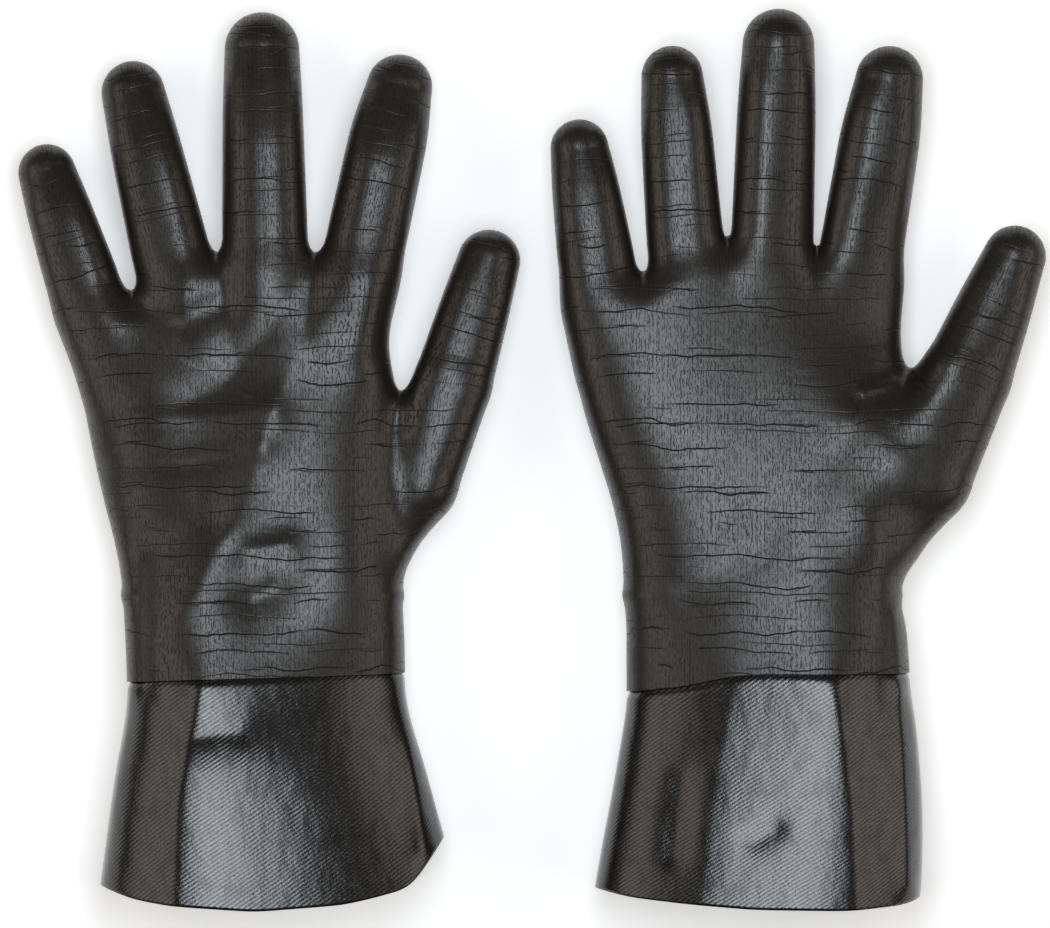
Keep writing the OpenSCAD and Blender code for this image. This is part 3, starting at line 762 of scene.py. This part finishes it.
def wrist_seam(glove, material):
    """The sewn band inside the wrist, over the joint of the liner and the cuff's fabric."""
    angle = glove.even_angles()
    depth = COAT_T + LINER_GAP + LINER_T + SEAM_GAP
    outer, inner, coords = [], [], []
    for share in np.linspace(1, -1, SEAM_ROWS):
        y = np.full(CUFF_SIDES, SEAM_BAND * share)
        outer.append(glove.section_point(angle, y, depth))
        inner.append(glove.section_point(angle, y, depth + crown(SEAM_T, share)))
        around = np.cumsum(np.linalg.norm(np.diff(outer[-1], axis=0, append=outer[-1][:1]), axis=1))
        coords.append(np.stack([around, y, np.zeros(CUFF_SIDES)], 1))
    outer, inner, coords = (np.concatenate(rows) for rows in (outer, inner, coords))
    faces = grid_faces(SEAM_ROWS, CUFF_SIDES, True)
    obj = wall_piece(glove, "wrist_band", outer, inner, faces, coords, material)
    bend_wrist(glove, obj)
    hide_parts(f"{glove.side}_wrist_seam")


def side_seam(glove, material):
    """The turned edge of the fabric's side seam, inside the cuff on the thumb's side."""
    node = f"{glove.side}_cuff_side_seam"
    low, high = (glove.local(corner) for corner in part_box(node))
    depth = CUFF_INSET + CUFF_T + FABRIC_GAP + FABRIC_T + SEAM_GAP
    z = np.linspace(low[2], high[2], SEAM_ROWS)
    thickness = crown(SIDE_SEAM_T, np.linspace(-1, 1, SEAM_ROWS))
    outer, inner, coords = [], [], []
    for row in np.linspace(high[1], low[1], SIDE_SEAM_ROWS):
        y = np.full(SEAM_ROWS, row)
        outer.append(glove.side_point(y, z, depth))
        inner.append(glove.side_point(y, z, depth + thickness))
        coords.append(np.stack([y, z, np.zeros(SEAM_ROWS)], 1))
    outer, inner, coords = (np.concatenate(rows) for rows in (outer, inner, coords))
    faces = grid_faces(SIDE_SEAM_ROWS, SEAM_ROWS, False)
    obj = wall_piece(glove, "side_seam", outer, inner, faces, coords, material)
    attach(obj, f"{glove.side}_cuff")
    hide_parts(node)


def cuff_piece(glove, label, inset, thickness, back, rim_gap, material):
    """A layer of the cuff, from under the rough coat to the cut edge."""
    outer, coords = glove.cuff_grid(inset, back, rim_gap)
    inner, _ = glove.cuff_grid(inset + thickness, back, rim_gap)
    faces = grid_faces(CUFF_ROWS, CUFF_SIDES, True)
    obj = wall_piece(glove, label, outer, inner, faces, coords, material)
    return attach(obj, f"{glove.side}_cuff")


class Graph:
    """A material's node tree around one Principled BSDF."""

    def __init__(self, name):
        self.material = bpy.data.materials.new(name)
        self.material.use_nodes = True
        self.tree = self.material.node_tree
        self.shader = self.tree.nodes["Principled BSDF"]

    @cached_property
    def flow(self):
        """The piece's own shader coordinates, in millimetres."""
        return self.node("ShaderNodeAttribute", attribute_name="flow").outputs["Vector"]

    def node(self, kind, inputs=(), **settings):
        node = self.tree.nodes.new(kind)
        for key, value in settings.items():
            setattr(node, key, value)
        for key, value in dict(inputs).items():
            self.set(node.inputs[key], value)
        return node

    def set(self, socket, value):
        if isinstance(value, bpy.types.NodeSocket):
            self.tree.links.new(value, socket)
        else:
            socket.default_value = value

    def math(self, operation, a, b=0.0):
        return self.node("ShaderNodeMath", {0: a, 1: b}, operation=operation).outputs[0]

    def scaled(self, vector, scale, shift):
        node = self.node("ShaderNodeVectorMath", {0: vector, 1: scale, 2: shift}, operation="MULTIPLY_ADD")
        return node.outputs[0]

    def split(self, vector):
        return self.node("ShaderNodeSeparateXYZ", {0: vector}).outputs

    def join(self, x, y, z):
        return self.node("ShaderNodeCombineXYZ", {0: x, 1: y, 2: z}).outputs[0]

    def noise(self, vector, detail=2.0, roughness=0.5):
        inputs = {"Vector": vector, "Scale": 1.0, "Detail": detail, "Roughness": roughness}
        return self.node("ShaderNodeTexNoise", inputs).outputs["Fac"]

    def grain(self, scale, detail=2.0, roughness=0.5, seed=0.0):
        """Noise over the piece, with lumps per millimetre around, along and up."""
        return self.noise(self.scaled(self.flow, scale, (seed, 0.0, 0.0)), detail, roughness)

    def weighted(self, *pairs):
        """The sum of some values, each times its weight."""
        total = None
        for value, weight in pairs:
            term = self.math("MULTIPLY", value, weight)
            total = term if total is None else self.math("ADD", total, term)
        return total

    def strongest(self, layers):
        out, *rest = layers
        for layer in rest:
            out = self.math("MAXIMUM", out, layer)
        return out

    def ease(self, x, low, high, start=0.0, end=1.0):
        """start below low, end above high, and smooth between."""
        inputs = {0: x, 1: low, 2: high, 3: start, 4: end}
        return self.node("ShaderNodeMapRange", inputs, interpolation_type="SMOOTHSTEP").outputs[0]

    def mix(self, share, a, b):
        node = self.node("ShaderNodeMix", {"Factor": share}, data_type="RGBA")
        self.set(node.inputs[6], a)
        self.set(node.inputs[7], b)
        return node.outputs[2]

    def bump(self, height, distance=1.0):
        inputs = {"Height": height, "Distance": distance * MM, "Strength": 1.0}
        self.set(self.shader.inputs["Normal"], self.node("ShaderNodeBump", inputs).outputs[0])

    def finish(self, color, roughness, **others):
        self.set(self.shader.inputs["Base Color"], color)
        self.set(self.shader.inputs["Roughness"], roughness)
        for key, value in others.items():
            self.set(self.shader.inputs[key.replace("_", " ")], value)
        return self.material


def broken_lines(g, across, along, wave, pitch, width, cover, sway, length, seed):
    """Thin wavy lines, a pitch apart across the flow and each broken into stretches of about a length."""
    at = g.weighted((across, 1 / pitch), (wave, sway))
    row = g.math("FLOOR", at)
    inputs = {"W": g.math("ADD", row, seed)}
    random = g.node("ShaderNodeTexWhiteNoise", inputs, noise_dimensions="1D").outputs[0]
    low, high = LINE_PLACE
    middle = g.math("ADD", g.math("MULTIPLY", random, high - low), low)
    off = g.math("ABSOLUTE", g.math("SUBTRACT", g.math("SUBTRACT", at, row), middle))
    line = g.ease(g.math("MULTIPLY", off, pitch), 0.0, width, 1.0, 0.0)
    along_shift, beside_shift = ROW_SHIFT
    place = g.join(g.weighted((along, 1 / length), (row, along_shift)),
                   g.math("MULTIPLY", row, beside_shift), seed)
    return g.math("MULTIPLY", line, g.ease(g.noise(place, 1.0), 1 - cover, 1 + LINE_FADE - cover))


def crease(g, pitch, width, cover, sway, seed, strength):
    """Fine crosswise creases."""
    u, v, _ = g.split(g.flow)
    wave = g.grain(CREASE_GRAIN, 4.0, seed=seed)
    lines = broken_lines(g, v, u, wave, pitch, width, cover, sway, CREASE_LENGTH, seed)
    return g.math("MULTIPLY", lines, strength)


def crack(g, pitch, seed):
    """Short lengthwise cracks."""
    u, v, _ = g.split(g.flow)
    wave = g.grain(CRACK_GRAIN, 3.0, seed=seed)
    return broken_lines(g, u, v, wave, pitch, CRACK_W, CRACK_COVER, CRACK_SWAY, CRACK_LENGTH, seed)


def rough_coat():
    """Satin black rubber with crosswise creases and short lengthwise cracks."""
    g = Graph("rough_coat")
    patches = g.ease(g.grain(COAT_PATCH_GRAIN, 3.0), *PATCH_EASE)
    cracks = g.math("MULTIPLY", g.strongest([crack(g, *sizes) for sizes in CRACKS]), patches)
    creases = g.strongest([crease(g, *sizes) for sizes in CREASES])
    fine = g.grain(COAT_FINE_GRAIN, 3.0, 0.6)
    swell = g.grain(COAT_SWELL_GRAIN)
    g.bump(g.weighted((fine, COAT_FINE_H), (creases, -CREASE_H), (swell, COAT_SWELL_H)))
    groove = g.math("MAXIMUM", g.math("MULTIPLY", cracks, CRACK_SHADE), creases)
    tone = g.mix(g.ease(g.grain(COAT_TONE_GRAIN, 4.0), *NOISE_RANGE), *COAT_TONES)
    # painted shade: the colour darkens in the grooves of the creases and cracks
    color = g.mix(g.math("MULTIPLY", groove, GROOVE_SHADE_SHARE), tone, GROOVE_SHADE_TONE)
    rough = g.ease(fine, *NOISE_RANGE, *COAT_ROUGH)
    rough = g.math("ADD", rough, g.math("MULTIPLY", groove, GROOVE_ROUGH))
    return g.finish(color, rough, Specular_IOR_Level=g.ease(groove, 0.0, 1.0, *COAT_SHINE))


def twill(g, yarn_length):
    """Diagonal twill ribs over the unrolled cuff: 0 in the grooves to 1 on the ribs."""
    u, v, _ = g.split(g.flow)
    turn = math.radians(TWILL_ANGLE)
    across = g.weighted((v, math.cos(turn)), (u, -math.sin(turn)))
    along = g.weighted((u, math.cos(turn)), (v, math.sin(turn)))
    sway = g.math("MULTIPLY", g.grain(TWILL_GRAIN), TWILL_SWAY)
    rib = g.math("SINE", g.math("MULTIPLY", g.math("ADD", across, sway), 2 * math.pi / TWILL_PITCH))
    yarn = g.math("SINE", g.math("MULTIPLY", along, 2 * math.pi / yarn_length))
    return g.math("ADD", g.weighted((rib, RIB_SHARE), (yarn, YARN_SHARE)), 0.5)


def gloss_cuff():
    """Thin glossy rubber, through which the twill's relief shows more in some places than in others, with
    painted shade in the twill's grooves.
    """
    g = Graph("gloss_cuff")
    rib = twill(g, COATED_YARN)
    blotch = g.grain(CUFF_BLOTCH_GRAIN, 4.0, 0.6)
    fleck = g.grain(CUFF_FLECK_GRAIN, 3.0, 0.7)
    swell = g.grain(CUFF_SWELL_GRAIN)
    depth = g.math("MULTIPLY", rib, g.ease(blotch, *BLOTCH_EASE))
    g.bump(g.weighted((depth, CUFF_RIB_H), (fleck, CUFF_FLECK_H), (swell, CUFF_SWELL_H)))
    shine = g.math("MULTIPLY", g.ease(depth, *RIB_SHINE_EASE), g.ease(fleck, *FLECK_SHINE_EASE))
    rough = g.ease(fleck, *NOISE_RANGE, *CUFF_ROUGH)
    # painted shade: the colour darkens in the twill's grooves
    return g.finish(g.mix(rib, *CUFF_TONES), rough, Specular_IOR_Level=shine)


def knit_liner():
    """Pale knitted jersey, in columns of loops."""
    g = Graph("knit_liner")
    u, v, _ = g.split(g.flow)
    column = g.math("MULTIPLY", u, 2 * math.pi / KNIT_COLUMN)
    wale = g.math("ABSOLUTE", g.math("SINE", g.math("MULTIPLY", column, 0.5)))
    lifted = g.math("ADD", v, g.math("MULTIPLY", wale, KNIT_ZIGZAG))
    course = g.math("SINE", g.math("MULTIPLY", lifted, 2 * math.pi / KNIT_COURSE))
    both = zip((course, g.math("COSINE", column)), KNIT_SHARES)
    loop = g.math("ADD", g.weighted(*both), 0.5)
    fuzz = g.grain(KNIT_FUZZ_GRAIN, 4.0, 0.7)
    g.bump(g.math("ADD", loop, g.math("MULTIPLY", fuzz, KNIT_FUZZ)), KNIT_H)
    # painted shade: the colour follows the loops' height and darkens between them
    color = g.mix(g.math("MULTIPLY", loop, KNIT_TONE_SHARE), *KNIT_TONES)
    return g.finish(color, g.ease(fuzz, *FUZZ_RANGE, *KNIT_ROUGH), Sheen_Weight=KNIT_SHEEN)


def cuff_twill():
    """The cuff's bare twill, on its inside."""
    g = Graph("cuff_twill")
    rib = twill(g, BARE_YARN)
    fuzz = g.grain(TWILL_FUZZ_GRAIN, 4.0, 0.7)
    g.bump(g.math("ADD", rib, g.math("MULTIPLY", fuzz, TWILL_FUZZ)), TWILL_H)
    rough = g.ease(fuzz, *FUZZ_RANGE, *TWILL_ROUGH)
    # painted shade: the colour darkens in the twill's grooves
    return g.finish(g.mix(rib, *TWILL_TONES), rough, Sheen_Weight=TWILL_SHEEN)


def seam_thread():
    """Slanting stitches of dark thread."""
    g = Graph("seam_thread")
    u, v, _ = g.split(g.flow)
    slant = g.math("ADD", u, g.math("MULTIPLY", v, STITCH_SLANT))
    stitch = g.math("SINE", g.math("MULTIPLY", slant, 2 * math.pi / STITCH_PITCH))
    fuzz = g.grain(STITCH_FUZZ_GRAIN, 3.0, 0.7)
    g.bump(g.math("ADD", g.math("MULTIPLY", stitch, STITCH_SHARE), fuzz), STITCH_H)
    # painted light and shade: lighter on each stitch's crest, darker between stitches
    color = g.mix(g.ease(stitch, -STITCH_SIDE, STITCH_SIDE), *STITCH_TONES)
    return g.finish(color, g.ease(fuzz, *FUZZ_RANGE, *STITCH_ROUGH))


def build_glove(glove, materials):
    """All pieces of one glove, from the outside in."""
    side = glove.side

    def outside(region):
        return materials["rough_coat"], "rough_coat"

    def inside(region):
        slot = "cuff_twill" if region == "wrist" else "knit_liner"
        return materials[slot], slot

    coat = skin_pieces(glove, "coat", COAT_VOXEL, 0.0, COAT_T, 0.0, outside)
    bend_pieces(glove, coat)
    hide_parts(f"{side}_hand_coat")
    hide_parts(f"{side}_wrist_flex")
    for name in DIGITS:
        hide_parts(f"{side}_{name}_root_flex", f"{side}_{name}_stall")
        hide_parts(f"{side}_{name}_middle_flex", f"{side}_{name}_tip")

    liner = skin_pieces(glove, "liner", LINER_VOXEL, COAT_T + LINER_GAP, LINER_T, LINER_BACK, inside)
    bend_pieces(glove, liner)
    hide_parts(f"{side}_hand_liner")

    cuff = cuff_piece(glove, "cuff", CUFF_INSET, CUFF_T, CUFF_TUCK, 0.0,
                      materials["gloss_cuff"])
    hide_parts(f"{side}_cuff_coat")
    fabric = cuff_piece(glove, "fabric", CUFF_INSET + CUFF_T + FABRIC_GAP, FABRIC_T, CUFF_TUCK, FABRIC_SHORT,
                        materials["cuff_twill"])
    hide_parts(f"{side}_cuff_fabric")
    wrist_seam(glove, materials["seam_thread"])
    side_seam(glove, materials["seam_thread"])


def place_object(name, data, location):
    """A new object in the scene."""
    obj = bpy.data.objects.new(name, data)
    obj.location = location
    bpy.context.scene.collection.objects.link(obj)
    return obj


def build_floor():
    """A floor that is white to the camera and in reflections, and keeps the shadow."""
    mesh = bpy.data.meshes.new("floor")
    corners = [(-FLOOR, -FLOOR, 0), (FLOOR, -FLOOR, 0), (FLOOR, FLOOR, 0), (-FLOOR, FLOOR, 0)]
    mesh.from_pydata(corners, [], [(0, 1, 2, 3)])
    floor = place_object("floor", mesh, (0, 0, FLOOR_Z))
    g = Graph("floor")
    path = g.node("ShaderNodeLightPath").outputs
    seen = g.strongest([path[ray] for ray in ("Is Camera Ray", "Is Glossy Ray", "Is Transmission Ray")])
    glow = g.math("MULTIPLY", seen, FLOOR_GLOW)
    material = g.finish(FLOOR_COLOR, FLOOR_ROUGH, Emission_Color=(1, 1, 1, 1), Emission_Strength=glow)
    mesh.materials.append(material)


def build_lights():
    """A cool softbox above, a warm card on each side, and a little light from all around."""
    for name, place, size, power, color in LAMPS:
        lamp = bpy.data.lights.new(name, "AREA")
        lamp.shape = "RECTANGLE"
        lamp.size, lamp.size_y = size
        lamp.energy = power
        lamp.color = color
        obj = place_object(name, lamp, place)
        obj.rotation_euler = (-Vector(place)).to_track_quat("-Z", "Y").to_euler()
        obj.visible_camera = False

    world = bpy.data.worlds.new("studio")
    world.use_nodes = True
    background = world.node_tree.nodes["Background"]
    background.inputs[0].default_value = (*WORLD_COLOR, 1)
    background.inputs[1].default_value = WORLD_LIGHT
    bpy.context.scene.world = world


def build_camera(glove):
    """A camera straight above the middle of the photograph, which is placed by one of its gloves."""
    camera = bpy.data.cameras.new("camera")
    camera.sensor_fit = "HORIZONTAL"
    camera.lens = camera.sensor_width * (CAMERA_HEIGHT - OUTLINE_HEIGHT) / (PHOTO_W * PX)
    camera.clip_end = CAMERA_REACH
    x, y, _ = glove.world((*glove.from_px(PHOTO_W / 2, PHOTO_H / 2), 0.0))
    bpy.context.scene.camera = place_object("camera", camera, (x, y, CAMERA_HEIGHT * MM))
    bpy.context.scene.view_settings.view_transform = "Standard"


MATERIALS = {
    make.__name__: make() for make in (rough_coat, gloss_cuff, knit_liner, cuff_twill, seam_thread)
}
GLOVES = [Glove(side) for side in SIDES]
build_floor()
build_lights()
build_camera(GLOVES[0])
for glove in GLOVES:
    build_glove(glove, MATERIALS)
